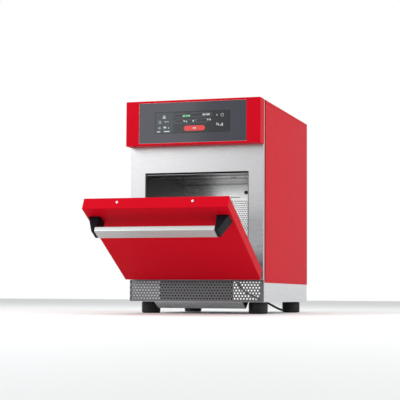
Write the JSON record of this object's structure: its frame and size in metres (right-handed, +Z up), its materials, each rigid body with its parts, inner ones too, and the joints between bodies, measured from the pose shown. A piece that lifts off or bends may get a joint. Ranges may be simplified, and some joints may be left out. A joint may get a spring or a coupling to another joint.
{
  "type": "high speed oven",
  "caption": "Countertop high-speed oven, tall red box with a steel front, a dark glass control panel above and a drop-down door with a bar handle, part open.",
  "frame": {"origin": "on the floor, under the middle of the oven's box with its door at rest (part open), the cord left out", "axes": "+Z up, +Y from the front to the back, +X to the right of someone who faces the front"},
  "size_m": [0.4, 1.1744, 0.607],
  "materials": {
    "casing_red": "gloss powder coat",
    "front_steel": "satin brushed",
    "cavity_steel": "satin",
    "galvanised": "matte zinc",
    "grille_steel": "satin",
    "control_glass": "gloss",
    "screen": "gloss",
    "board": "matte",
    "black_plastic": "satin",
    "handle_metal": "satin",
    "choke_metal": "matte",
    "rubber_black": "matte",
    "seal_grey": "matte",
    "insulation": "matte",
    "stone_plate": "matte",
    "motor_metal": "satin",
    "heatsink": "satin",
    "heater_tube": "matte",
    "cord_rubber": "matte"
  },
  "bodies": {
    "oven": {"air_baffle": "galvanised", "base_pan": "front_steel", "cable_gland": "black_plastic", "cavity_liner": "cavity_steel", "ceiling_plate": "stone_plate", "control_board": "board", "control_glass": "control_glass", "cooking_plate": "stone_plate", "cooling_fan_frame": "black_plastic", "cord_hank": "cord_rubber", "cord_run": "cord_rubber", "deck": "galvanised", "display_module": "screen", "fan_cover": "cavity_steel", "fan_motor": "motor_metal", "fascia_bumper": "rubber_black", "fascia_housing": "casing_red", "filter_cassette": "grille_steel", "foot_front_left": "rubber_black", "foot_front_right": "rubber_black", "foot_rear_left": "rubber_black", "foot_rear_right": "rubber_black", "front_frame": "front_steel", "grille": "grille_steel", "heater_ring": "heater_tube", "hinge_arm_left": "front_steel", "hinge_arm_right": "front_steel", "insulation_back": "insulation", "insulation_jacket": "insulation", "interlock_switch_left": "black_plastic", "interlock_switch_right": "black_plastic", "inverter": "heatsink", "left_side_panel": "casing_red", "magnetron": "heatsink", "plug": "cord_rubber", "rear_panel": "galvanised", "right_side_panel": "casing_red", "stirrer_motor": "motor_metal", "terminal_block": "black_plastic", "top_panel": "casing_red", "upper_deck": "galvanised", "waveguide": "galvanised"},
    "door": {"door_outer_panel": "casing_red", "door_inner_panel": "cavity_steel", "door_choke": "choke_metal", "door_seal": "seal_grey", "door_insulation": "insulation", "handle_bar": "handle_metal", "handle_bracket_left": "black_plastic", "handle_bracket_right": "black_plastic", "hinge_pin_left": "front_steel", "hinge_pin_right": "front_steel", "door_screw_left": "front_steel", "door_screw_right": "front_steel"},
    "convection_fan": {"convection_fan": "cavity_steel"},
    "stirrer": {"stirrer": "cavity_steel"},
    "cooling_fan": {"cooling_fan_rotor": "black_plastic"},
    "plunger_left": {"interlock_plunger_left": "black_plastic"},
    "plunger_right": {"interlock_plunger_right": "black_plastic"}
  },
  "joints": [
    {"name": "door_hinge", "type": "hinge", "parent": "oven", "child": "door", "pos_m": [0, -0.13067, 0.1035], "axis": [1, 0, 0], "range_deg": [-61.3, 28.7]},
    {"name": "convection_fan_spin", "type": "hinge", "parent": "oven", "child": "convection_fan", "pos_m": [0, 0.27053, 0.3], "axis": [0, 1, 0], "continuous": true},
    {"name": "stirrer_spin", "type": "hinge", "parent": "oven", "child": "stirrer", "pos_m": [0, 0.05133, 0.4065], "axis": [0, 0, 1], "continuous": true},
    {"name": "cooling_fan_spin", "type": "hinge", "parent": "oven", "child": "cooling_fan", "pos_m": [0.105, 0.44458, 0.537], "axis": [0, 1, 0], "continuous": true},
    {"name": "plunger_left_travel", "type": "slide", "parent": "oven", "child": "plunger_left", "axis": [0, 1, 0], "range_m": [0, 0.005], "stiffness_N_per_m": 200, "springref_m": -0.004},
    {"name": "plunger_right_travel", "type": "slide", "parent": "oven", "child": "plunger_right", "axis": [0, 1, 0], "range_m": [0, 0.005], "stiffness_N_per_m": 200, "springref_m": -0.004}
  ]
}
